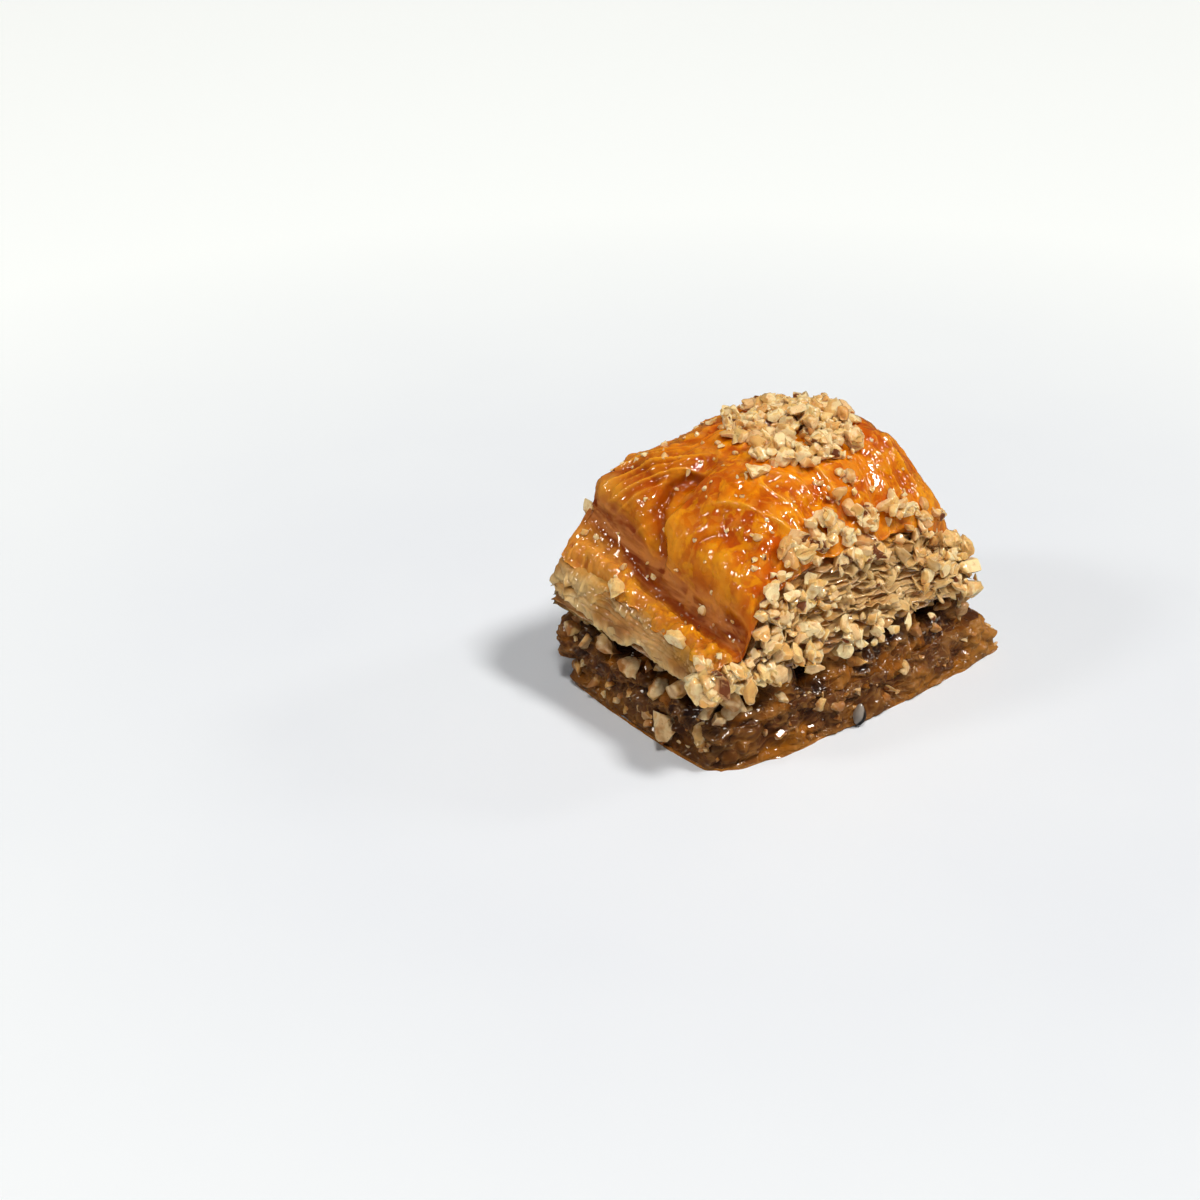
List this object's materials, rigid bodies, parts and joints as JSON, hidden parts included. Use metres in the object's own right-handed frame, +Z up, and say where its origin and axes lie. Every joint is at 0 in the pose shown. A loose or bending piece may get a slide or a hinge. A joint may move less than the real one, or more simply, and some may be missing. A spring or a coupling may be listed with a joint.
{
  "type": "baklava piece",
  "caption": "Rectangular piece of walnut baklava with a domed, syrup-glazed crust, layered sides, a chopped walnut filling and walnut crumbs on top.",
  "frame": {"origin": "middle of the bounding box's underside, where the piece rests", "axes": "+Z up, +X along the piece's length towards the corner that is drawn out, +Y towards the back"},
  "size_m": [0.0576, 0.0392, 0.0404],
  "materials": {
    "soaked_sheets": "syrup-soaked pastry sheets, glossy brown",
    "walnut_filling": "chopped walnut in syrup, dark brown with pale pieces",
    "glazed_pastry": "baked pastry with a glossy syrup glaze, orange-brown, with pale walnut crumbs"
  },
  "bodies": {
    "root": {"soaked_base": "soaked_sheets", "walnut_filling": "walnut_filling", "top_pastry": "glazed_pastry"}
  },
  "joints": []
}
